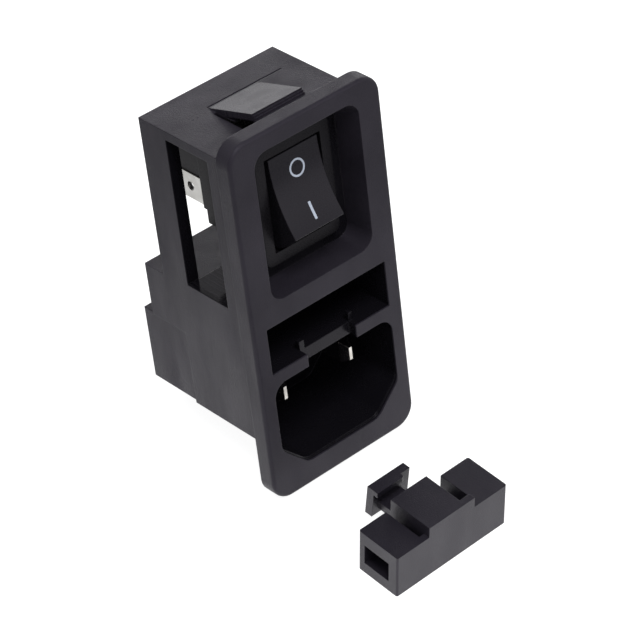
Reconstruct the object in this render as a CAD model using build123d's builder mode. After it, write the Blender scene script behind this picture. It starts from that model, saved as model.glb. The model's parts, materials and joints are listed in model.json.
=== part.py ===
"""Power entry module: a snap-in appliance inlet with a rocker switch and a pull-out fuse drawer.

All sizes are in millimetres. X runs across the module, Y from the front of the bezel to the
rear, Z up. Depths are measured from the front of the bezel while modelling; the finished
pieces are then moved so that the origin is the centre of the bezel's back face, on the panel.
"""
import os
from math import atan2, degrees, radians, sin, sqrt, tan

from build123d import *

os.makedirs("parts", exist_ok=True)

# Bezel, the flange that lies on the panel
bezel_width = 30.2
bezel_height = 66.4
bezel_thickness = 3.2
bezel_corner_radius = 3.6
bezel_edge_round = 0.6

# Body behind the bezel
body_width = 27.3
body_top = 29.5
body_bottom = -29.5
body_corner_chamfer = 6.2
side_wall = 2.25
top_wall = 1.6
bay_front = 7.4
bay_rear = 23.6
fuse_block_top = 0.5
fuse_block_rear = 28.3
inlet_block_top = -9.4
inlet_block_rear = 31.0
shoulder_depth = 20.0
shoulder_step = 0.35
top_groove_width = 0.25
top_groove_depth = 0.2
top_groove_reach = 5.0

# Side windows of the switch bay
window_rear = 17.3
window_sill = 0.6

# Snap fingers above and below
finger_width = 10.0
finger_root = 17.2
finger_tip = 6.2
finger_rise_top = 3.1
finger_rise_bottom = 2.7
finger_thickness = 1.3
finger_step = 0.3
finger_steps = 3
finger_slot_side = 0.6
finger_slot_rear = 15.2
finger_nose = 0.4

# Recess round the switch
pocket_width = 21.0
pocket_over_body = 0.6
pocket_bottom = 3.5
pocket_depth = 5.6
pocket_corner_radius = 2.6
pocket_floor_width = 20.3
pocket_floor_drop = 1.6
pocket_floor_bottom = 3.8
pocket_floor_radius = 2.0

# Fuse slot
slot_width = 24.7
slot_top = -0.45
slot_bottom = -9.05
slot_depth = 18.0
slot_rear_wall = 1.5
notch_width = 10.2
notch_depth = 1.75
guide_left_x = -4.7
guide_left_width = 1.0
guide_right_x = 5.6
guide_right_width = 0.7
guide_height = 1.6
guide_depth = 0.9

# Inlet opening for the mating connector
inlet_width = 24.9
inlet_top = -11.3
inlet_bottom = -28.8
inlet_corner_radius = 2.6
inlet_chamfer = 4.9
inlet_depth = 17.0
inlet_floor = 1.8
inlet_rim_step = 0.4
inlet_rim_depth = 0.6

# Rear chamber and its two covers
chamber_wall = 1.1
cover_thickness = 1.5
cover_ledge = 0.5
cover_clearance = 0.05

# Inlet pins and terminal blades
pin_pitch = 14.0
pin_width = 2.0
pin_height = 4.0
pin_axis_z = -17.6
pin_setback = 4.5
pin_taper = 1.7
pin_tip_width = 0.6
pin_tip_height = 2.4
pin_clearance = 0.05
pin_tail = 22.0
blade_width = 4.8
blade_thickness = 0.8
blade_hole = 1.6
blade_hole_from_end = 3.9
blade_length = 6.3
blade_point = 0.9

# Fuse contact strips
strip_thickness = 0.4
strip_height = 4.0
strip_gap = 0.15
strip_front = 7.6
strip_bow = 1.2
strip_bow_length = 6.4
strip_drop = 2.4
strip_spacing = 0.8
bridge_drop = 1.2

# Switch frame and case
switch_below_top = 12.5
frame_width = 15.0
frame_height = 21.0
frame_lip = 1.6
frame_corner_radius = 1.2
cutout_width = 13.0
cutout_height = 19.2
case_clearance = 0.1
opening_width = 11.3
opening_height = 16.8
case_rear = 19.4
case_rear_wall = 1.5
cap_rise = 0.7
cap_inset = 3.2
case_step = 0.7
case_step_depth = 1.6
barrier_bottom = 1.7
barrier_top = 2.45
barrier_width = 10.6
barrier_length = 7.0
blade_past_barrier = 0.8
pole_wall = 1.0
catch_rise = 0.6
catch_length = 3.0

# Rocker
rocker_width = 9.9
rocker_tilt = 19.5
rocker_chord = 6.7
rocker_crown = 5.49
rocker_dish = 1.1
rocker_end_depth = 2.0
rocker_skirt = 1.6
rocker_wall = 1.1
rocker_roof_drop = 1.8
rocker_edge_round = 0.2
pivot_behind_frame = 2.84
trunnion_radius = 1.2
trunnion_clearance = 0.05
trunnion_end_gap = 0.05
trunnion_reach = 0.45
trunnion_root = 0.5

# Plungers, springs and contact levers
pole_x = 3.1
plunger_radius = 1.0
plunger_clearance = 0.08
plunger_reach = 5.5
plunger_top = 0.3
boss_wall = 0.6
boss_root = 0.2
spring_wire = 0.3
spring_end_gap = 0.05
spring_turns = 4
lever_gap = 0.06
lever_thickness = 0.6
lever_width = 3.0
lever_half_length = 6.0
lever_tilt = 7.0
knife_gap = 0.1
knife_height = 0.6
contact_radius = 1.1
contact_thickness = 0.5
contact_offset = 5.1
contact_gap = 0.1
pad_margin = 0.3
terminal_x = 5.15
feed_offset = 4.2
load_offset = 4.9

# Fuse drawer, pulled out and lying on the table in front of the module
drawer_clearance = 0.45
drawer_height_clearance = 0.3
drawer_depth = 8.6
drawer_edge_radius = 0.35
drawer_lip_width = 9.5
drawer_lip_height = 2.0
drawer_lip_thickness = 1.2
drawer_arm_width = 7.7
drawer_arm_offset = -1.25
drawer_left_groove = 1.0
drawer_right_groove = 3.2
drawer_groove_floor = 3.6
tongue_width = 4.9
tongue_bottom = 2.7
tongue_top = 4.2
plate_width = 7.8
plate_height = 6.0
plate_thickness = 1.5
plate_bottom = 1.8
plate_lean = 0.5
plate_hook_width = 5.8
plate_hook_height = 1.0
plate_hook_reach = 0.8
plate_hook_round = 0.4
fuse_gap = 5.5
spare_hole_width = 5.4
spare_hole_height = 3.8
spare_hole_floor = 2.1
spare_hole_front = 1.9
spare_hole_end_wall = 2.6
drawer_rest_x = -2.4
drawer_rest_y = -26.7
drawer_turn = 0.96

# Values that follow from the sizes above
bezel_low = -bezel_height / 2
half_body = body_width / 2
bay_half = half_body - side_wall
bay_top = body_top - top_wall
chamber_half = slot_width / 2
chamber_front = inlet_depth + inlet_floor
fuse_chamber_front = slot_depth + slot_rear_wall
rear_half = half_body - shoulder_step
rear_bottom = body_bottom + shoulder_step
chamber_bottom = rear_bottom + chamber_wall
pocket_top = body_top + pocket_over_body
pocket_floor_top = body_top - pocket_floor_drop
switch_z = body_top - switch_below_top
frame_front = pocket_depth - frame_lip
pivot_y = frame_front + pivot_behind_frame
rocker_end_y = rocker_end_depth - rocker_crown
rocker_end_z = rocker_chord + rocker_end_depth * tan(radians(rocker_tilt))
skirt_radius = sqrt(rocker_end_y ** 2 + rocker_end_z ** 2)
case_width = cutout_width - 2 * case_clearance
case_height = cutout_height - 2 * case_clearance
lever_front = pivot_y + plunger_reach + lever_gap
lever_back = lever_front + lever_thickness
knife_front = lever_back + knife_gap
contact_front = lever_back + contact_thickness
fixed_front = contact_front + contact_offset * sin(radians(lever_tilt)) + contact_gap
terminal_rear = case_rear + cap_rise + barrier_length + blade_past_barrier
drawer_length = slot_width - 2 * drawer_clearance
drawer_height = slot_top - slot_bottom - drawer_height_clearance
plate_front = drawer_depth + fuse_gap
plate_top = plate_bottom + plate_height
table_lean = degrees(atan2(rear_bottom - bezel_low, inlet_block_rear - bezel_thickness))


def block(x1, x2, y1, y2, z1, z2, mode=Mode.ADD):
    """A box between two corners, added to the part that is being built."""
    with Locations(((x1 + x2) / 2, (y1 + y2) / 2, (z1 + z2) / 2)):
        Box(abs(x2 - x1), abs(y2 - y1), abs(z2 - z1), mode=mode)


def inset_chamfer(size, inset):
    """The chamfer of an outline that lies inside another one by the same wall all round."""
    return size - inset * (2 - sqrt(2))


def inlet_profile(half_width, top, bottom, chamfer_size, top_radius):
    """The six-sided outline of the inlet in the plane of the panel, drawn as a sketch."""
    with BuildSketch(Plane.XZ) as outline:
        with BuildLine():
            Polyline(
                (-half_width, top),
                (half_width, top),
                (half_width, bottom + chamfer_size),
                (half_width - chamfer_size, bottom),
                (-half_width + chamfer_size, bottom),
                (-half_width, bottom + chamfer_size),
                close=True,
            )
        make_face()
        if top_radius > 0:
            upper = outline.vertices().group_by(Axis.Z)[-1]
            fillet(upper, top_radius)
    return outline.sketch


def finger_profile(base, rise, direction):
    """Side view of a snap finger: a sloped tongue with a stepped end, seen along X."""
    tip = base + direction * rise
    under = tip - direction * finger_thickness
    points = [(finger_root, base), (finger_tip, tip)]
    for step in range(finger_steps):
        y = finger_tip - step * finger_step
        z = tip - direction * (step + 1) * finger_step
        points += [(y, z), (y - finger_step, z)]
    last_y = finger_tip - finger_steps * finger_step
    points += [(last_y, under), (finger_tip + finger_nose, under)]
    root_inner = base - direction * finger_thickness / 2
    points += [(finger_slot_rear, root_inner), (finger_root, root_inner)]
    with BuildSketch(Plane.YZ) as side:
        with BuildLine():
            Polyline(*points, close=True)
        make_face()
    return side.sketch


# Housing: bezel, switch bay, fuse block, inlet block and snap fingers in one moulding
with BuildPart() as housing:
    with BuildSketch(Plane.XZ):
        RectangleRounded(bezel_width, bezel_height, bezel_corner_radius)
    extrude(amount=-bezel_thickness)
    front_face = housing.faces().sort_by(Axis.Y)[0]
    fillet(front_face.edges(), bezel_edge_round)

    # Blocks behind the bezel
    block(-half_body, half_body, bezel_thickness, bay_rear, fuse_block_top, body_top)
    block(-half_body, half_body, bezel_thickness, fuse_block_rear, inlet_block_top, fuse_block_top)
    front_outline = inlet_profile(half_body, inlet_block_top, body_bottom, body_corner_chamfer, 0)
    extrude(front_outline.moved(Location((0, bezel_thickness, 0))), amount=bezel_thickness - shoulder_depth)
    rear_outline = inlet_profile(
        rear_half,
        inlet_block_top,
        rear_bottom,
        inset_chamfer(body_corner_chamfer, shoulder_step),
        0,
    )
    extrude(rear_outline.moved(Location((0, shoulder_depth, 0))), amount=shoulder_depth - inlet_block_rear)

    # Snap fingers
    extrude(finger_profile(body_top, finger_rise_top, 1), amount=finger_width / 2, both=True)
    extrude(finger_profile(body_bottom, finger_rise_bottom, -1), amount=finger_width / 2, both=True)

    # Switch bay, open at the rear, and in front of that open at both sides with a raised floor
    block(-bay_half, bay_half, window_rear, bay_rear, fuse_block_top, bay_top, Mode.SUBTRACT)
    block(
        -half_body,
        half_body,
        bay_front,
        window_rear,
        fuse_block_top + window_sill,
        bay_top,
        Mode.SUBTRACT,
    )
    slot_half = finger_width / 2 + finger_slot_side
    for side in (-1, 1):
        block(
            side * finger_width / 2,
            side * slot_half,
            bay_front,
            finger_slot_rear,
            bay_top,
            body_top,
            Mode.SUBTRACT,
        )
    with BuildSketch(Plane.YZ):
        with BuildLine():
            Polyline(
                (bay_front, bay_top),
                (finger_slot_rear, bay_top),
                (finger_slot_rear, body_top - finger_thickness / 2),
                (bay_front, body_top + finger_rise_top - 2 * finger_thickness),
                close=True,
            )
        make_face()
    extrude(amount=finger_width / 2, both=True, mode=Mode.SUBTRACT)

    # Recess for the switch and the cut-out in its floor
    with BuildSketch(Plane.XZ) as pocket_mouth:
        with Locations((0, (pocket_top + pocket_bottom) / 2)):
            RectangleRounded(pocket_width, pocket_top - pocket_bottom, pocket_corner_radius)
    with BuildSketch(Plane.XZ.offset(-pocket_depth)) as pocket_floor:
        with Locations((0, (pocket_floor_top + pocket_floor_bottom) / 2)):
            RectangleRounded(
                pocket_floor_width,
                pocket_floor_top - pocket_floor_bottom,
                pocket_floor_radius,
            )
    loft(sections=[pocket_mouth.sketch, pocket_floor.sketch], mode=Mode.SUBTRACT)
    block(
        -cutout_width / 2,
        cutout_width / 2,
        pocket_depth,
        bay_front,
        switch_z - cutout_height / 2,
        switch_z + cutout_height / 2,
        Mode.SUBTRACT,
    )

    # Groove across the top along the finger's root
    block(
        -finger_width / 2,
        finger_width / 2 + top_groove_reach,
        finger_root,
        finger_root + top_groove_width,
        body_top - top_groove_depth,
        body_top,
        Mode.SUBTRACT,
    )

    # Fuse slot with its notch and the two guides for the drawer
    block(-slot_width / 2, slot_width / 2, 0, slot_depth, slot_bottom, slot_top, Mode.SUBTRACT)
    block(-notch_width / 2, notch_width / 2, 0, notch_depth, inlet_top, slot_bottom, Mode.SUBTRACT)
    for x, width in ((guide_left_x, guide_left_width), (guide_right_x, guide_right_width)):
        block(
            x - width / 2,
            x + width / 2,
            notch_depth,
            notch_depth + guide_depth,
            slot_bottom,
            slot_bottom + guide_height,
        )

    # Inlet cavity with a small step behind the front edge
    rim = inlet_profile(inlet_width / 2, inlet_top, inlet_bottom, inlet_chamfer, inlet_corner_radius)
    extrude(rim, amount=-inlet_rim_depth, mode=Mode.SUBTRACT)
    cavity = inlet_profile(
        inlet_width / 2,
        inlet_top,
        inlet_bottom + inlet_rim_step,
        inlet_chamfer,
        inlet_corner_radius,
    )
    extrude(cavity, amount=-inlet_depth, mode=Mode.SUBTRACT)

    # Rear chamber behind the fuse slot and the inlet floor
    block(
        -chamber_half,
        chamber_half,
        fuse_chamber_front,
        fuse_block_rear,
        inlet_block_top - chamber_wall,
        slot_top,
        Mode.SUBTRACT,
    )
    chamber = inlet_profile(
        chamber_half,
        inlet_block_top - chamber_wall,
        chamber_bottom,
        inset_chamfer(body_corner_chamfer, shoulder_step + chamber_wall),
        0,
    )
    chamber_back = chamber.moved(Location((0, chamber_front, 0)))
    extrude(chamber_back, amount=chamber_front - inlet_block_rear, mode=Mode.SUBTRACT)

    # Ledges that the two covers lie on
    block(
        -chamber_half - cover_ledge,
        chamber_half + cover_ledge,
        fuse_block_rear - cover_thickness,
        fuse_block_rear,
        inlet_block_top,
        slot_top + cover_ledge,
        Mode.SUBTRACT,
    )
    recess = inlet_profile(
        chamber_half + cover_ledge,
        inlet_block_top - chamber_wall + cover_ledge,
        chamber_bottom - cover_ledge,
        inset_chamfer(body_corner_chamfer, shoulder_step + chamber_wall - cover_ledge),
        0,
    )
    recess_back = recess.moved(Location((0, inlet_block_rear - cover_thickness, 0)))
    extrude(recess_back, amount=-cover_thickness, mode=Mode.SUBTRACT)

    # Slits for the fuse contact strips and holes for the pins
    strip_mid = (slot_top + slot_bottom) / 2
    for side in (-1, 1):
        block(
            side * slot_width / 2,
            side * (slot_width / 2 - 2 * strip_gap - strip_thickness),
            slot_depth,
            fuse_chamber_front,
            strip_mid - strip_height / 2 - strip_gap,
            strip_mid + strip_height / 2 + strip_gap,
            Mode.SUBTRACT,
        )
    for x in (-pin_pitch / 2, pin_pitch / 2):
        block(
            x - pin_width / 2 - pin_clearance,
            x + pin_width / 2 + pin_clearance,
            inlet_depth,
            chamber_front,
            pin_axis_z - pin_height / 2 - pin_clearance,
            pin_axis_z + pin_height / 2 + pin_clearance,
            Mode.SUBTRACT,
        )

# Rear covers
blade_rear = inlet_block_rear + blade_length
with BuildPart() as fuse_cover:
    block(
        -chamber_half - cover_ledge + cover_clearance,
        chamber_half + cover_ledge - cover_clearance,
        fuse_block_rear - cover_thickness,
        fuse_block_rear,
        inlet_block_top + cover_clearance,
        slot_top + cover_ledge - cover_clearance,
    )

with BuildPart() as inlet_cover:
    plate = inlet_profile(
        chamber_half + cover_ledge - cover_clearance,
        inlet_block_top - chamber_wall + cover_ledge - cover_clearance,
        chamber_bottom - cover_ledge + cover_clearance,
        inset_chamfer(body_corner_chamfer, shoulder_step + chamber_wall - cover_ledge + cover_clearance),
        0,
    )
    plate_back = plate.moved(Location((0, inlet_block_rear - cover_thickness, 0)))
    extrude(plate_back, amount=-cover_thickness)
    for x in (-pin_pitch / 2, pin_pitch / 2):
        block(
            x - blade_thickness / 2 - pin_clearance,
            x + blade_thickness / 2 + pin_clearance,
            inlet_block_rear - cover_thickness,
            inlet_block_rear,
            pin_axis_z - blade_width / 2 - pin_clearance,
            pin_axis_z + blade_width / 2 + pin_clearance,
            Mode.SUBTRACT,
        )


def blade(x, z, y_start, y_end):
    """A flat quick-connect blade on edge, with a pointed end and a detent hole."""
    with BuildSketch(Plane.YZ.offset(x)) as side:
        with BuildLine():
            Polyline(
                (y_start, z - blade_width / 2),
                (y_end - blade_point, z - blade_width / 2),
                (y_end, z - blade_width / 2 + blade_point),
                (y_end, z + blade_width / 2 - blade_point),
                (y_end - blade_point, z + blade_width / 2),
                (y_start, z + blade_width / 2),
                close=True,
            )
        make_face()
        with Locations((y_end - blade_hole_from_end, z)):
            Circle(blade_hole / 2, mode=Mode.SUBTRACT)
    extrude(side.sketch, amount=blade_thickness / 2, both=True)


def pin_bar(x):
    """A flat inlet pin with a tapered tip, running back through the inlet floor."""
    shank = pin_setback + pin_taper
    z_low = pin_axis_z - pin_height / 2
    block(x - pin_width / 2, x + pin_width / 2, shank, pin_tail, z_low, z_low + pin_height)
    with BuildSketch(Plane.XZ.offset(-shank)) as full:
        with Locations((x, pin_axis_z)):
            Rectangle(pin_width, pin_height)
    with BuildSketch(Plane.XZ.offset(-pin_setback)) as tip:
        with Locations((x, pin_axis_z)):
            Rectangle(pin_tip_width, pin_tip_height)
    loft(sections=[full.sketch, tip.sketch])


with BuildPart() as pin_live:
    pin_bar(-pin_pitch / 2)

with BuildPart() as pin_neutral:
    pin_bar(pin_pitch / 2)
    blade(pin_pitch / 2, pin_axis_z, pin_tail, blade_rear)

# Fuse contact strips: a bowed spring in the slot, then a flat strip into the rear chamber
strip_outer = slot_width / 2 - strip_gap
strip_inner = strip_outer - strip_thickness
bow_inner = strip_inner - strip_bow
bow_mid = strip_front + strip_bow_length / 2
bow_end = strip_front + strip_bow_length
in_strip_front = pin_tail - strip_drop
out_strip_front = pin_tail + strip_spacing


def contact_spring(side, y_end):
    """The bowed strip that presses on one end of the fuse, seen from above."""
    with BuildSketch(Plane.XY.offset(strip_mid)) as plan:
        with BuildLine():
            Polyline(
                (side * strip_outer, strip_front),
                (side * strip_inner, strip_front),
                (side * bow_inner, bow_mid),
                (side * strip_inner, bow_end),
                (side * strip_inner, y_end),
                (side * strip_outer, y_end),
                (side * strip_outer, bow_end),
                (side * (bow_inner + strip_thickness), bow_mid),
                close=True,
            )
        make_face()
    extrude(plan.sketch, amount=strip_height / 2, both=True)


with BuildPart() as fuse_contact_in:
    contact_spring(-1, pin_tail)
    block(
        -strip_outer,
        -strip_inner,
        in_strip_front,
        pin_tail,
        pin_axis_z - pin_height / 2,
        strip_mid,
    )
    block(
        -strip_outer,
        -pin_pitch / 2 - pin_width / 2,
        in_strip_front,
        pin_tail,
        pin_axis_z - strip_thickness,
        pin_axis_z + strip_thickness,
    )

bridge_z = inlet_block_top - chamber_wall - bridge_drop
with BuildPart() as fuse_contact_out:
    contact_spring(1, out_strip_front + strip_drop)
    block(
        strip_inner,
        strip_outer,
        out_strip_front,
        out_strip_front + strip_drop,
        bridge_z,
        strip_mid,
    )
    block(
        -pin_pitch / 2 - blade_thickness / 2,
        strip_outer,
        out_strip_front,
        out_strip_front + strip_drop,
        bridge_z,
        bridge_z + strip_thickness,
    )
    block(
        -pin_pitch / 2 - blade_thickness / 2,
        -pin_pitch / 2 + blade_thickness / 2,
        out_strip_front,
        out_strip_front + strip_drop,
        pin_axis_z,
        bridge_z,
    )
    blade(-pin_pitch / 2, pin_axis_z, out_strip_front, blade_rear)

# Switch frame and case
case_floor = case_rear - case_rear_wall
hole_reach = opening_width / 2 + trunnion_reach
with BuildPart() as switch_body:
    with BuildSketch(Plane.XZ.offset(-frame_front)):
        with Locations((0, switch_z)):
            RectangleRounded(frame_width, frame_height, frame_corner_radius)
    extrude(amount=-frame_lip)
    half_h = case_height / 2
    block(-case_width / 2, case_width / 2, pocket_depth, case_rear, switch_z - half_h, switch_z + half_h)
    for side in (-1, 1):
        block(
            -case_width / 2,
            case_width / 2,
            case_rear - case_step_depth,
            case_rear,
            switch_z + side * half_h,
            switch_z + side * (half_h - case_step),
            Mode.SUBTRACT,
        )
        with BuildSketch(Plane.YZ):
            with BuildLine():
                Polyline(
                    (bay_front, switch_z + side * half_h),
                    (bay_front, switch_z + side * (half_h + catch_rise)),
                    (bay_front + catch_length, switch_z + side * half_h),
                    close=True,
                )
            make_face()
        extrude(amount=case_width / 4, both=True)
    block(
        -case_width / 2,
        case_width / 2,
        case_rear,
        case_rear + cap_rise,
        switch_z - half_h + cap_inset,
        switch_z + half_h - cap_inset,
    )
    block(
        -barrier_width / 2,
        barrier_width / 2,
        case_rear + cap_rise,
        case_rear + cap_rise + barrier_length,
        switch_z - barrier_bottom,
        switch_z + barrier_top,
    )
    block(
        -opening_width / 2,
        opening_width / 2,
        frame_front,
        case_floor,
        switch_z - opening_height / 2,
        switch_z + opening_height / 2,
        Mode.SUBTRACT,
    )
    # Wall between the two poles
    block(
        -pole_wall / 2,
        pole_wall / 2,
        lever_front + 2 * lever_thickness,
        case_floor,
        switch_z - opening_height / 2,
        switch_z + opening_height / 2,
    )
    # Bearings for the rocker and slots for the four blades
    with Locations((0, pivot_y, switch_z)):
        Cylinder(
            trunnion_radius + trunnion_clearance,
            2 * hole_reach,
            rotation=(0, 90, 0),
            mode=Mode.SUBTRACT,
        )
    for side in (-1, 1):
        for z in (switch_z - feed_offset, switch_z + load_offset):
            block(
                side * terminal_x - blade_thickness / 2 - pin_clearance,
                side * terminal_x + blade_thickness / 2 + pin_clearance,
                case_floor,
                case_rear + cap_rise,
                z - blade_width / 2 - pin_clearance,
                z + blade_width / 2 + pin_clearance,
                Mode.SUBTRACT,
            )

# Rocker, drawn level about its pivot and then tipped to the off position
rest_tilt = Location((0, pivot_y, switch_z), (-rocker_tilt, 0, 0))
skirt_z = sqrt(skirt_radius ** 2 - rocker_skirt ** 2)
skirt_y = (rocker_end_y + rocker_skirt) / 2
skirt_mid_z = sqrt(skirt_radius ** 2 - skirt_y ** 2)
boss_radius = plunger_radius + plunger_clearance + boss_wall
with BuildPart() as rocker_level:
    with BuildSketch(Plane.YZ) as outer:
        with BuildLine():
            ThreePointArc(
                (-rocker_crown, -rocker_chord),
                (-rocker_crown + rocker_dish, 0),
                (-rocker_crown, rocker_chord),
            )
            Line((-rocker_crown, rocker_chord), (rocker_end_y, rocker_end_z))
            ThreePointArc((rocker_end_y, rocker_end_z), (skirt_y, skirt_mid_z), (rocker_skirt, skirt_z))
            Line((rocker_skirt, skirt_z), (rocker_skirt, -skirt_z))
            ThreePointArc((rocker_skirt, -skirt_z), (skirt_y, -skirt_mid_z), (rocker_end_y, -rocker_end_z))
            Line((rocker_end_y, -rocker_end_z), (-rocker_crown, -rocker_chord))
        make_face()
    extrude(amount=rocker_width / 2, both=True)
    crown_edges = rocker_level.edges().filter_by(Axis.X).group_by(Axis.Y)[0]
    fillet(crown_edges, rocker_edge_round)
    with BuildSketch(Plane.YZ):
        with BuildLine():
            hollow_z = skirt_z - rocker_wall
            hollow_top = -rocker_crown + rocker_dish + rocker_wall
            Polyline(
                (rocker_skirt, hollow_z),
                (-rocker_crown + 2 * rocker_wall, hollow_z - rocker_roof_drop),
                (hollow_top, 0),
                (-rocker_crown + 2 * rocker_wall, rocker_roof_drop - hollow_z),
                (rocker_skirt, -hollow_z),
                close=True,
            )
        make_face()
    extrude(amount=rocker_width / 2 - rocker_wall, both=True, mode=Mode.SUBTRACT)
    boss_top = hollow_top - boss_root
    for side in (-1, 1):
        with Locations((side * pole_x, (boss_top + rocker_skirt) / 2, 0)):
            Cylinder(boss_radius, rocker_skirt - boss_top, rotation=(90, 0, 0))
    for side in (-1, 1):
        with Locations((side * pole_x, (hollow_top + rocker_skirt) / 2, 0)):
            Cylinder(
                plunger_radius + plunger_clearance,
                rocker_skirt - hollow_top,
                rotation=(90, 0, 0),
                mode=Mode.SUBTRACT,
            )
    trunnion_length = hole_reach - trunnion_end_gap - rocker_width / 2 + trunnion_root
    for side in (-1, 1):
        with Locations((side * (hole_reach - trunnion_end_gap - trunnion_length / 2), 0, 0)):
            Cylinder(trunnion_radius, trunnion_length, rotation=(0, 90, 0))

with BuildPart() as plungers_level:
    for side in (-1, 1):
        barrel_end = plunger_reach - plunger_radius
        with Locations((side * pole_x, (plunger_top + barrel_end) / 2, 0)):
            Cylinder(plunger_radius, barrel_end - plunger_top, rotation=(90, 0, 0))
        with Locations((side * pole_x, barrel_end, 0)):
            Sphere(plunger_radius)

# One coil per plunger, between the plunger's end and the roof of its bore
spring_start = hollow_top + spring_wire / 2 + spring_end_gap
spring_length = plunger_top - spring_wire / 2 - spring_end_gap - spring_start
spring_radius = plunger_radius - spring_wire / 2
with BuildPart() as springs_level:
    for side in (-1, 1):
        with BuildLine() as coil:
            Helix(
                spring_length / spring_turns,
                spring_length,
                spring_radius,
                center=(side * pole_x, spring_start, 0),
                direction=(0, 1, 0),
            )
        with BuildSketch(Plane(coil.line @ 0, z_dir=coil.line % 0)) as wire:
            Circle(spring_wire / 2)
        sweep(sections=wire.sketch, path=coil.line, is_frenet=True)

# Contact levers, drawn level about the knife edge and then tipped to the off position
lever_rest = Location((0, lever_back, switch_z), (lever_tilt, 0, 0))


def lever(side):
    """A flat lever that rocks on its knife edge, with two locating ears."""
    with BuildPart() as bar:
        block(
            side * pole_x - lever_width / 2,
            side * pole_x + lever_width / 2,
            -lever_thickness,
            0,
            -lever_half_length,
            lever_half_length,
        )
        edges = bar.edges().filter_by(Axis.Y)
        fillet(edges, lever_width / 4)
    return bar.part


def moving_contact(side):
    """The contact button on the rear of a lever's upper end."""
    with BuildPart() as button:
        with Locations((side * pole_x, contact_thickness / 2, contact_offset)):
            Cylinder(contact_radius, contact_thickness, rotation=(90, 0, 0))
    return button.part


with BuildPart() as fixed_contacts:
    for side in (-1, 1):
        with Locations((side * pole_x, fixed_front + contact_thickness / 2, switch_z + contact_offset)):
            Cylinder(contact_radius, contact_thickness, rotation=(90, 0, 0))


def feed_terminal(side):
    """Lower blade whose inner end is the knife edge that carries the lever."""
    z = switch_z - feed_offset
    outer = terminal_x + blade_thickness / 2
    inner = terminal_x - blade_thickness / 2
    with BuildPart() as terminal:
        blade(side * terminal_x, z, fixed_front + contact_thickness, terminal_rear)
        block(
            side * inner,
            side * outer,
            knife_front,
            fixed_front + contact_thickness + strip_drop,
            z,
            switch_z + knife_height / 2,
        )
        block(
            side * (pole_x - lever_width / 2),
            side * outer,
            knife_front,
            knife_front + blade_thickness,
            switch_z - knife_height / 2,
            switch_z + knife_height / 2,
        )
    return terminal.part


def load_terminal(side):
    """Upper blade whose inner end is the pad that carries the fixed contact."""
    z = switch_z + load_offset
    outer = terminal_x + blade_thickness / 2
    pad_front = fixed_front + contact_thickness
    with BuildPart() as terminal:
        blade(side * terminal_x, z, pad_front, terminal_rear)
        block(
            side * (pole_x - lever_width / 2),
            side * outer,
            pad_front,
            pad_front + blade_thickness,
            switch_z + contact_offset - contact_radius - pad_margin,
            switch_z + contact_offset + contact_radius + pad_margin,
        )
    return terminal.part


# Fuse drawer, drawn upright about the middle of its front lower edge
half_drawer = drawer_length / 2
arm_left = drawer_arm_offset - drawer_arm_width / 2
arm_right = drawer_arm_offset + drawer_arm_width / 2
lip_top = drawer_height + drawer_lip_height
with BuildPart() as drawer_upright:
    block(-half_drawer, half_drawer, 0, drawer_depth, 0, drawer_height)
    upright = drawer_upright.edges().filter_by(Axis.Z)
    fillet(upright, drawer_edge_radius)
    block(
        -drawer_lip_width / 2,
        drawer_lip_width / 2,
        0,
        drawer_lip_thickness,
        drawer_height,
        lip_top,
    )
    block(arm_left, arm_right, 0, drawer_depth, drawer_height, lip_top)
    for x1, x2 in (
        (arm_left - drawer_left_groove, arm_left),
        (arm_right, arm_right + drawer_right_groove),
    ):
        block(x1, x2, drawer_lip_thickness, drawer_depth, drawer_groove_floor, drawer_height, Mode.SUBTRACT)
    block(-tongue_width / 2, tongue_width / 2, drawer_depth, plate_front, tongue_bottom, tongue_top)
    with BuildSketch(Plane.YZ):
        with BuildLine():
            Polyline(
                (plate_front, plate_bottom),
                (plate_front + plate_thickness, plate_bottom),
                (plate_front + plate_thickness - plate_lean, plate_top),
                (plate_front - plate_lean, plate_top),
                close=True,
            )
        make_face()
    extrude(amount=plate_width / 2, both=True)
    hook_front = plate_front - plate_lean - plate_hook_reach
    hook_bottom = plate_top - plate_hook_height
    with BuildSketch(Plane.XY.offset(hook_bottom)) as hook:
        with Locations(((plate_hook_width - plate_width) / 2, (hook_front + plate_front) / 2)):
            Rectangle(plate_hook_width, plate_front - hook_front)
        fillet(hook.vertices().sort_by(Axis.X)[-2:].sort_by(Axis.Y)[0], plate_hook_round)
    extrude(amount=plate_hook_height)
    block(
        -half_drawer,
        half_drawer - spare_hole_end_wall,
        spare_hole_front,
        spare_hole_front + spare_hole_width,
        spare_hole_floor,
        spare_hole_floor + spare_hole_height,
        Mode.SUBTRACT,
    )

table_z = bezel_low + tan(radians(table_lean)) * (drawer_rest_y - bezel_thickness)
drawer_on_table = Location((drawer_rest_x, drawer_rest_y, table_z), (table_lean, 0, 0))
drawer_place = drawer_on_table * Location((0, 0, 0), (0, 0, drawer_turn))

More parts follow.
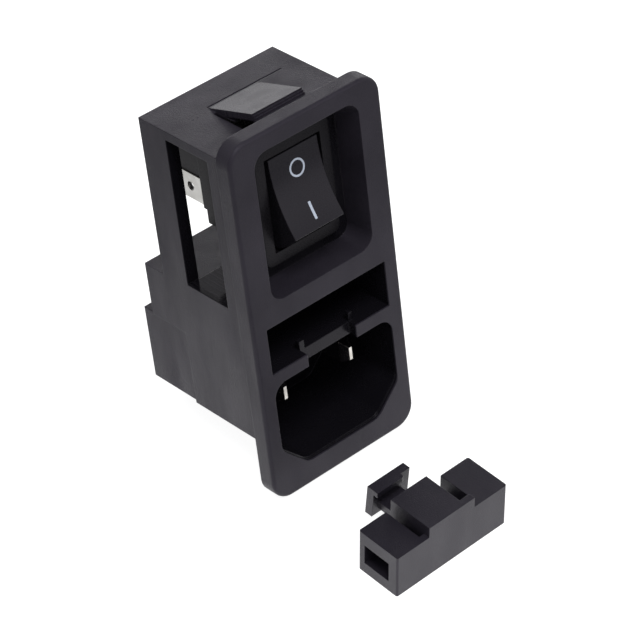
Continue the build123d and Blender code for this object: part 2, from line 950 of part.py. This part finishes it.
NODES = {
    "housing": housing.part,
    "fuse_cover": fuse_cover.part,
    "inlet_cover": inlet_cover.part,
    "pin_live": pin_live.part,
    "pin_neutral": pin_neutral.part,
    "fuse_contact_in": fuse_contact_in.part,
    "fuse_contact_out": fuse_contact_out.part,
    "switch_body": switch_body.part,
    "rocker": rocker_level.part.moved(rest_tilt),
    "plungers": plungers_level.part.moved(rest_tilt),
    "plunger_springs": springs_level.part.moved(rest_tilt),
    "lever_left": lever(-1).moved(lever_rest),
    "lever_right": lever(1).moved(lever_rest),
    "moving_contact_left": moving_contact(-1).moved(lever_rest),
    "moving_contact_right": moving_contact(1).moved(lever_rest),
    "fixed_contacts": fixed_contacts.part,
    "feed_terminal_left": feed_terminal(-1),
    "feed_terminal_right": feed_terminal(1),
    "load_terminal_left": load_terminal(-1),
    "load_terminal_right": load_terminal(1),
    "fuse_drawer": drawer_upright.part.moved(drawer_place),
}

panel_datum = Location((0, -bezel_thickness, 0))
for name, part in NODES.items():
    placed = part.moved(panel_datum)
    placed.label = name
    export_step(placed, os.path.join("parts", name + ".step"))
    print(name, "solids", len(placed.solids()), "volume", round(placed.volume, 2))
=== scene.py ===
"""Power entry module with its fuse drawer in front: finishes, marks, table, light and camera."""
import json
import math

import bmesh
import bpy
from mathutils import Matrix, Vector


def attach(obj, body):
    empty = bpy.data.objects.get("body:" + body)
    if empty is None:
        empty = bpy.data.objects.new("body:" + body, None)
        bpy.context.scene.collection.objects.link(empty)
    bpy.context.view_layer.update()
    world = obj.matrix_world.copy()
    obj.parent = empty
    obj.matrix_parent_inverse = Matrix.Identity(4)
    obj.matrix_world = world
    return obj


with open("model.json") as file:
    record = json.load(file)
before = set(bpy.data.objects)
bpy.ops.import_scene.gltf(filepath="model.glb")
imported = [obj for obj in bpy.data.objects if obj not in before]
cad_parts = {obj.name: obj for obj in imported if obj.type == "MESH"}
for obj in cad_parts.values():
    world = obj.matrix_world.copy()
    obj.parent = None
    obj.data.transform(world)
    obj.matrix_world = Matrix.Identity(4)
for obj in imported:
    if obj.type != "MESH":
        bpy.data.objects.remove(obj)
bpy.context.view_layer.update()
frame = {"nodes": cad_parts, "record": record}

MM = 0.001
WHITE = (1.0, 1.0, 1.0, 1.0)


# Materials
# Noise scales, in features per metre
MOTTLE, FLOW_MARKS, DRAG_LINES = 90.0, 260.0, 4200.0
DRAWN_LINES, DULL_PATCHES, INK_WEAR = 9000.0, 500.0, 5000.0
# A noise's scale along x, y and z: where it is under 1, the marks are drawn out
UP_THE_SIDES = (1.0, 1.0, 0.22)
ALONG_THE_DRAW = (1.0, 0.02, 1.0)
ALONG_THE_BLADE = (1.0, 0.06, 1.0)
EVEN = (1.0, 1.0, 1.0)
# Ranges of a noise's value: most of it, and the upper parts that show as specks and lines
MOST = (0.3, 0.7)
SPECKS = (0.35, 0.75)
BRIGHT_LINES = (0.52, 0.72)
DULL_PARTS = (0.4, 0.7)
WORN_PARTS = (0.35, 0.7)
FULL = (0.0, 1.0)

SPECK_SHARE = 0.35              # of the lighter colour, where a grain is brightest
ROUGH_BELOW, ROUGH_ABOVE = 0.05, 0.06
GRAIN_DEPTH = 0.35              # of the grain's size
DRAG_DEPTH = 0.25               # of the grain's depth
COOL = (0.94, 0.89, 1.0, 1.0)   # tint of the plastics' gloss
# painted shade: near-black laid on the housing's hollows, window jambs, pocket floor and bay floor
PAINTED_SHADE_BLACK = (0.0072, 0.0066, 0.0090)
DRAG_GREY = (0.032, 0.030, 0.036)

DULL_SHARE = 0.8                # of the duller colour, in a metal's patches
DULL_ROUGHER = 0.15
METAL_EDGE, LINE_BUMP, LINE_DEPTH = 0.08 * MM, 0.15, 0.02 * MM

INK_DARKER = 0.82               # of its colour, where the ink is worn
INK_ROUGH = (0.45, 0.6)

# Places in the housing that the mould leaves smooth: middle and half size along x, y and z in
# millimetres, and how much lower the roughness is there. All but the finger also get painted
# shade:
# they are painted near-black, standing in for the shade in the hollows, jambs and floors
HOLLOWS = ((0.0, 12.6), (6.0, 8.9), (-14.65, 14.25)), 0.15
WINDOW_JAMBS = ((0.0, 13.7), (14.1, 0.06), (14.5, 13.3)), 0.10
POCKET_FLOOR = ((0.0, 10.3), (2.4, 0.06), (15.9, 12.3)), 0.10
BAY_FLOOR = ((0.0, 13.7), (9.15, 5.0), (1.1, 0.06)), 0.30
FINGER = ((0.0, 5.1), (8.5, 6.3), (31.4, 1.78)), 0.12


def new_material(name):
    """A material with only its shader, and the object coordinates for its pattern."""
    mat = bpy.data.materials.new(name)
    mat.use_nodes = True
    tree = mat.node_tree
    tree.nodes.clear()
    out = tree.nodes.new("ShaderNodeOutputMaterial")
    shader = tree.nodes.new("ShaderNodeBsdfPrincipled")
    tree.links.new(shader.outputs["BSDF"], out.inputs["Surface"])
    coord = tree.nodes.new("ShaderNodeTexCoord").outputs["Object"]
    return mat, tree, shader, coord


def feed(tree, socket, value):
    """Links another socket to this one, or sets it to a number or a colour."""
    if isinstance(value, bpy.types.NodeSocket):
        tree.links.new(value, socket)
    elif isinstance(value, tuple):
        socket.default_value = (*value, 1.0)
    else:
        socket.default_value = value


def noise(tree, coord, scale, detail=2.0, rough=0.5):
    node = tree.nodes.new("ShaderNodeTexNoise")
    node.inputs["Scale"].default_value = scale
    node.inputs["Detail"].default_value = detail
    node.inputs["Roughness"].default_value = rough
    tree.links.new(coord, node.inputs["Vector"])
    return node.outputs["Fac"]


def stretched_noise(tree, coord, along, scale, detail=2.0):
    """Noise drawn out by a Mapping scale, for flow marks and drag lines."""
    node = tree.nodes.new("ShaderNodeMapping")
    node.inputs["Scale"].default_value = along
    tree.links.new(coord, node.inputs["Vector"])
    return noise(tree, node.outputs["Vector"], scale, detail)


def ramp(tree, value, given, wanted):
    """Maps value from the range given to the range wanted, and holds it at their ends."""
    node = tree.nodes.new("ShaderNodeMapRange")
    for socket, limit in zip(("From Min", "From Max", "To Min", "To Max"), (*given, *wanted)):
        node.inputs[socket].default_value = limit
    tree.links.new(value, node.inputs["Value"])
    return node.outputs["Result"]


def combine(tree, operation, *values):
    """A Math node over sockets and numbers."""
    node = tree.nodes.new("ShaderNodeMath")
    node.operation = operation
    for socket, value in zip(node.inputs, values):
        feed(tree, socket, value)
    return node.outputs[0]


def mix_colour(tree, fac, a, b):
    node = tree.nodes.new("ShaderNodeMix")
    node.data_type = "RGBA"
    tree.links.new(fac, node.inputs["Factor"])
    feed(tree, node.inputs["A"], a)
    feed(tree, node.inputs["B"], b)
    return node.outputs["Result"]


def inside(tree, coord, box):
    """1 inside the box of a place such as BAY_FLOOR, else 0."""
    split = tree.nodes.new("ShaderNodeSeparateXYZ")
    tree.links.new(coord, split.inputs[0])
    found = 1.0
    for axis, (middle, half) in zip("XYZ", box):
        near = combine(tree, "COMPARE", split.outputs[axis], middle * MM, half * MM)
        found = combine(tree, "MULTIPLY", near, found)
    return found


def soft_edges(tree, shader, radius, height, strength, distance):
    """Rounds the edges in the shading and lays a bump over them."""
    bevel = tree.nodes.new("ShaderNodeBevel")
    bevel.samples = 4
    bevel.inputs["Radius"].default_value = radius
    bump = tree.nodes.new("ShaderNodeBump")
    bump.inputs["Strength"].default_value = strength
    bump.inputs["Distance"].default_value = distance
    tree.links.new(height, bump.inputs["Height"])
    tree.links.new(bevel.outputs["Normal"], bump.inputs["Normal"])
    tree.links.new(bump.outputs["Normal"], shader.inputs["Normal"])


def smooth_and_shaded_places(tree, coord, colour, roughness, height):
    """Takes the grain off the housing's smooth places, paints all but the finger near-black as
    painted shade, and drags fine lines over the bay floor.
    """
    lines = stretched_noise(tree, coord, ALONG_THE_DRAW, DRAG_LINES)
    # the bay floor: painted shade, near-black, with lighter drag lines over it
    drag_lines_on_shade = mix_colour(tree, ramp(tree, lines, BRIGHT_LINES, FULL), PAINTED_SHADE_BLACK, DRAG_GREY)
    # painted shade, near-black, on the hollows, jambs, pocket floor and bay floor; the finger
    # keeps its own colour
    for (box, smoother), finish_and_shade in (
        (HOLLOWS, PAINTED_SHADE_BLACK),
        (WINDOW_JAMBS, PAINTED_SHADE_BLACK),
        (POCKET_FLOOR, PAINTED_SHADE_BLACK),
        (BAY_FLOOR, drag_lines_on_shade),
        (FINGER, colour),
    ):
        found = inside(tree, coord, box)
        colour = mix_colour(tree, found, colour, finish_and_shade)
        drop = combine(tree, "MULTIPLY", found, smoother)
        roughness = combine(tree, "SUBTRACT", roughness, drop)
        height = combine(tree, "MULTIPLY", height, combine(tree, "SUBTRACT", 1.0, found))
    scratched = combine(tree, "MULTIPLY", inside(tree, coord, BAY_FLOOR[0]), lines)
    height = combine(tree, "ADD", height, combine(tree, "MULTIPLY", scratched, DRAG_DEPTH))
    return colour, roughness, height


def moulded_plastic(name, base, light, rough, grain, grain_size,
                    edge=0.22, gloss=0.5, flow=0.0, housing=False):
    """Moulded thermoplastic: spark-eroded grain, faint flow marks, slight mottle, soft edges.

    grain is the bump's strength and flow how far the flow marks move the roughness. grain_size
    and edge, the radius of the edges, are in millimetres.
    """
    mat, tree, shader, coord = new_material(name)
    mottle = noise(tree, coord, MOTTLE, 3.0)
    speck = noise(tree, coord, 1.0 / (grain_size * MM), 2.0, 0.6)
    marks = stretched_noise(tree, coord, UP_THE_SIDES, FLOW_MARKS, 3.0)
    colour = mix_colour(tree, ramp(tree, mottle, MOST, FULL), base, light)
    colour = mix_colour(tree, ramp(tree, speck, SPECKS, (0.0, SPECK_SHARE)), colour, light)
    fine = ramp(tree, speck, MOST, (rough - ROUGH_BELOW, rough + ROUGH_ABOVE))
    roughness = combine(tree, "ADD", fine, ramp(tree, marks, MOST, (-flow, flow)))
    height = speck
    # the housing gets painted shade, near-black, in its hollows, window jambs, pocket floor and
    # bay floor
    if housing:
        colour, roughness, height = smooth_and_shaded_places(tree, coord, colour, roughness, height)
    tree.links.new(colour, shader.inputs["Base Color"])
    tree.links.new(roughness, shader.inputs["Roughness"])
    shader.inputs["Specular IOR Level"].default_value = gloss
    shader.inputs["Specular Tint"].default_value = COOL
    soft_edges(tree, shader, edge * MM, height, grain, grain_size * MM * GRAIN_DEPTH)
    return mat


def plated_metal(name, base, dull, rough, along=ALONG_THE_BLADE):
    """Plated or bare sheet metal with fine drawing lines and dull patches."""
    mat, tree, shader, coord = new_material(name)
    lines = stretched_noise(tree, coord, along, DRAWN_LINES)
    patch = noise(tree, coord, DULL_PATCHES, 3.0)
    colour = mix_colour(tree, ramp(tree, patch, DULL_PARTS, (0.0, DULL_SHARE)), base, dull)
    roughness = ramp(tree, patch, MOST, (rough, rough + DULL_ROUGHER))
    tree.links.new(colour, shader.inputs["Base Color"])
    tree.links.new(roughness, shader.inputs["Roughness"])
    shader.inputs["Metallic"].default_value = 1.0
    soft_edges(tree, shader, METAL_EDGE, lines, LINE_BUMP, LINE_DEPTH)
    return mat


def print_ink(name, base):
    """Matt printing ink, a little worn."""
    mat, tree, shader, coord = new_material(name)
    wear = noise(tree, coord, INK_WEAR)
    worn = tuple(INK_DARKER * c for c in base)
    colour = mix_colour(tree, ramp(tree, wear, WORN_PARTS, FULL), base, worn)
    tree.links.new(colour, shader.inputs["Base Color"])
    tree.links.new(ramp(tree, wear, MOST, INK_ROUGH), shader.inputs["Roughness"])
    return mat


MATERIALS = {
    "black_plastic": moulded_plastic(
        "housing_black", (0.0190, 0.0168, 0.0235), (0.0330, 0.0292, 0.0395),
        rough=0.39, grain=0.8, grain_size=0.20, gloss=0.22, flow=0.09, housing=True),
    "drawer_plastic": moulded_plastic(
        "drawer_black", (0.0160, 0.0142, 0.0205), (0.0230, 0.0205, 0.0290),
        rough=0.36, grain=0.7, grain_size=0.18, edge=0.15, gloss=0.42, flow=0.05),
    "switch_plastic": moulded_plastic(
        "switch_black", (0.0060, 0.0055, 0.0068), (0.0082, 0.0075, 0.0092),
        rough=0.28, grain=0.2, grain_size=0.12, edge=0.15, gloss=0.18),
    "rocker_plastic": moulded_plastic(
        "rocker_black", (0.0108, 0.0099, 0.0128), (0.0142, 0.0131, 0.0165),
        rough=0.28, grain=0.12, grain_size=0.10, edge=0.2, gloss=0.28),
    "natural_nylon": moulded_plastic(
        "nylon", (0.70, 0.68, 0.62), (0.74, 0.72, 0.66),
        rough=0.4, grain=0.1, grain_size=0.10),
    "plated_pin": plated_metal(
        "nickel_plate", (0.72, 0.70, 0.66), (0.60, 0.57, 0.53), rough=0.08),
    "plated_blade": plated_metal(
        "tin_plate", (0.78, 0.77, 0.74), (0.66, 0.65, 0.62), rough=0.28),
    "copper_strip": plated_metal(
        "copper_alloy", (0.78, 0.45, 0.30), (0.60, 0.36, 0.25), rough=0.3),
    "silver_contact": plated_metal(
        "silver_alloy", (0.85, 0.84, 0.82), (0.70, 0.69, 0.68), rough=0.25),
    "spring_steel": plated_metal(
        "spring_wire", (0.55, 0.55, 0.56), (0.42, 0.42, 0.43), rough=0.3, along=EVEN),
}
slot_of = {row["node"]: row["material_slot"] for row in frame["record"]["subparts"]}
for node_name, obj in frame["nodes"].items():
    mat = MATERIALS[slot_of[node_name]]
    if not obj.material_slots:
        obj.data.materials.append(mat)
    for slot in obj.material_slots:
        slot.material = mat


def new_piece(name, bm, mat):
    """An object made of bm, which is freed, in one material."""
    mesh = bpy.data.meshes.new(name)
    bm.to_mesh(mesh)
    bm.free()
    mesh.materials.append(mat)
    piece = bpy.data.objects.new(name, mesh)
    bpy.context.scene.collection.objects.link(piece)
    return piece


# Marks on the rocker
# The rocker's front is an arc seen from the side, tipped about the pivot.
PIVOT = Vector((0.0, 3.64 * MM, 17.0 * MM))
TILT = math.radians(-19.5)
CHORD, CROWN, DISH = 6.7 * MM, 5.49 * MM, 1.1 * MM
ARC_R = (CHORD ** 2 + DISH ** 2) / (2 * DISH)
ARC_Y = -CROWN + DISH - ARC_R
TIPPED = Matrix.Translation(PIVOT) @ Matrix.Rotation(TILT, 4, "X")

INK = print_ink("white_print", (0.62, 0.68, 0.80))
PRINT_OUT, PRINT_IN = 0.03 * MM, 0.02 * MM
LINE = 0.33 * MM
RING_X, RING_Z, RING_R = 0.17 * MM, 3.33 * MM, 1.33 * MM
RING_STEPS = 48
BAR_X, BAR_Z, BAR_H, BAR_W = 0.2 * MM, -3.88 * MM, 2.9 * MM, 0.46 * MM
BAR_STEPS = 10


def on_rocker(x, z, lift):
    """A point over the rocker's dished front, x and z in metres from the pivot when level."""
    y = ARC_Y + math.sqrt(ARC_R ** 2 - z ** 2)
    inward = Vector((0.0, y - ARC_Y, z)).normalized()
    return TIPPED @ (Vector((x, y, z)) - inward * lift)


def lay_on_rocker(name, bm):
    """Wraps a flat print, drawn with x and z across and -y outwards, onto the rocker's front."""
    for vert in bm.verts:
        vert.co = on_rocker(vert.co.x, vert.co.z, -vert.co.y)
    bmesh.ops.recalc_face_normals(bm, faces=bm.faces)
    piece = new_piece(name, bm, INK)
    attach(piece, "rocker")


def print_section(x, z, width):
    """A new bmesh with one small face: the print's section across x at height z."""
    bm = bmesh.new()
    middle = Matrix.Translation((x, (PRINT_IN - PRINT_OUT) / 2, z))
    size = Matrix.Diagonal((width, PRINT_OUT + PRINT_IN, 1.0, 1.0))
    bmesh.ops.create_grid(bm, x_segments=1, y_segments=1, size=0.5, matrix=middle @ size)
    return bm


# O: the section's outline spun round the ring's axis
bm = print_section(RING_X + RING_R, RING_Z, LINE)
bmesh.ops.delete(bm, geom=bm.faces[:], context="FACES_ONLY")
bmesh.ops.spin(
    bm, geom=bm.verts[:] + bm.edges[:], cent=(RING_X, 0, RING_Z), axis=(0, 1, 0),
    angle=2 * math.pi, steps=RING_STEPS, use_merge=True)
lay_on_rocker("mark_off", bm)

# I: the section drawn up the bar in short steps, so that it bends
bm = print_section(BAR_X, BAR_Z - BAR_H / 2, BAR_W)
front = bm.faces[:]
for step in range(BAR_STEPS):
    made = bmesh.ops.extrude_face_region(bm, geom=front)["geom"]
    front = [item for item in made if isinstance(item, bmesh.types.BMFace)]
    moved = [item for item in made if isinstance(item, bmesh.types.BMVert)]
    bmesh.ops.translate(bm, verts=moved, vec=(0, 0, BAR_H / BAR_STEPS))
lay_on_rocker("mark_on", bm)


# Table
# It touches the bezel's lower rear edge at TABLE_Z, and rises to the inlet block's lower rear
# edge. Gloss sees it white near SPOT only, and darker further out.
TABLE_Z = -33.2 * MM
LEAN = math.atan2(4.05, 27.8)
TABLE_HALF = 3.0
TABLE_GREY = (0.5, 0.5, 0.5, 1.0)
TABLE_GLOW = 0.9
SPOT = (-10 * MM, -10 * MM, -33 * MM)
SPOT_EDGE = (0.03, 0.115)


def seen(tree, glossy=1.0):
    """1 for camera rays and rays through glass, glossy for rays off gloss, else 0."""
    path = tree.nodes.new("ShaderNodeLightPath").outputs
    straight = combine(tree, "MAXIMUM", path["Is Camera Ray"], path["Is Transmission Ray"])
    reflected = combine(tree, "MULTIPLY", path["Is Glossy Ray"], glossy)
    return combine(tree, "MAXIMUM", straight, reflected)


mat, tree, shader, coord = new_material("table_white")
shader.inputs["Roughness"].default_value = 0.9
shader.inputs["Specular IOR Level"].default_value = 0.1
shader.inputs["Base Color"].default_value = TABLE_GREY
shader.inputs["Emission Color"].default_value = WHITE
away = tree.nodes.new("ShaderNodeVectorMath")
away.operation = "DISTANCE"
tree.links.new(coord, away.inputs[0])
away.inputs[1].default_value = SPOT
fade = ramp(tree, away.outputs["Value"], SPOT_EDGE, (1.0, 0.0))
glow = combine(tree, "MULTIPLY", seen(tree, fade), TABLE_GLOW)
tree.links.new(glow, shader.inputs["Emission Strength"])

bm = bmesh.new()
place = Matrix.Translation((0, 0, TABLE_Z)) @ Matrix.Rotation(LEAN, 4, "X")
bmesh.ops.create_grid(bm, x_segments=1, y_segments=1, size=TABLE_HALF, matrix=place)
table = new_piece("table", bm, mat)


# Light
# The world lights the object plainly. The camera, gloss and glass see it white, but gloss and
# glass see it darker high up and to the left.
PLAIN_LIGHT, PLAIN_STRENGTH = (0.97, 0.98, 1.0, 1.0), 0.45
HIGH, HIGH_WHITE = (0.43, 0.74), (1.0, 0.12)
SIDE, SIDE_WHITE = (-0.8, 0.2), (0.2, 1.0)
# Name, place in metres, width and height in metres, power in watts
LAMPS = (
    ("rear_box", (1.0, 1.5, 0.35), (1.4, 0.5), 4.0),
    ("top_box", (-0.6, 0.5, 1.1), (0.9, 0.9), 1.0),
    ("front_box", (-0.2, -0.7, 1.2), (0.6, 0.6), 9.5),
)

world = bpy.data.worlds.new("studio")
bpy.context.scene.world = world
world.use_nodes = True
tree = world.node_tree
tree.nodes.clear()
out = tree.nodes.new("ShaderNodeOutputWorld")
plain = tree.nodes.new("ShaderNodeBackground")
plain.inputs["Color"].default_value = PLAIN_LIGHT
plain.inputs["Strength"].default_value = PLAIN_STRENGTH
white = tree.nodes.new("ShaderNodeBackground")
white.inputs["Color"].default_value = WHITE
way = tree.nodes.new("ShaderNodeSeparateXYZ")
tree.links.new(tree.nodes.new("ShaderNodeTexCoord").outputs["Generated"], way.inputs[0])
high = ramp(tree, way.outputs["Z"], HIGH, HIGH_WHITE)
side = ramp(tree, way.outputs["X"], SIDE, SIDE_WHITE)
camera_ray = tree.nodes.new("ShaderNodeLightPath").outputs["Is Camera Ray"]
strength = combine(tree, "MAXIMUM", camera_ray, combine(tree, "MULTIPLY", high, side))
tree.links.new(strength, white.inputs["Strength"])
pick = tree.nodes.new("ShaderNodeMixShader")
tree.links.new(seen(tree), pick.inputs[0])
tree.links.new(plain.outputs[0], pick.inputs[1])
tree.links.new(white.outputs[0], pick.inputs[2])
tree.links.new(pick.outputs[0], out.inputs["Surface"])

for name, place, (width, height), power in LAMPS:
    data = bpy.data.lights.new(name, "AREA")
    data.shape = "RECTANGLE"
    data.size = width
    data.size_y = height
    data.energy = power
    lamp = bpy.data.objects.new(name, data)
    bpy.context.scene.collection.objects.link(lamp)
    lamp.location = place
    lamp.rotation_euler = (-Vector(place)).to_track_quat("-Z", "Y").to_euler()


# Camera
# The photograph's view: directions, place in millimetres, and focal length in pixels of its frame
RIGHT = Vector((0.7444329, -0.6598063, -0.1023489))
DOWN = Vector((-0.4433113, -0.3737925, -0.8147111))
AHEAD = Vector((0.4992943, 0.6518702, -0.5707631))
CAMERA_AT = Vector((-234.5145, -306.9857, 261.8466))
FOCAL, FRAME, SENSOR = 2984.76, 640, 36.0

lens = bpy.data.cameras.new("camera")
lens.sensor_fit = "HORIZONTAL"
lens.sensor_width = SENSOR
lens.lens = FOCAL / FRAME * SENSOR
lens.clip_start = 0.01
camera = bpy.data.objects.new("camera", lens)
bpy.context.scene.collection.objects.link(camera)
view = Matrix((RIGHT, -DOWN, -AHEAD)).transposed().to_4x4()
view.translation = CAMERA_AT * MM
camera.matrix_world = view

scene = bpy.context.scene
scene.camera = camera
scene.view_settings.view_transform = "Standard"
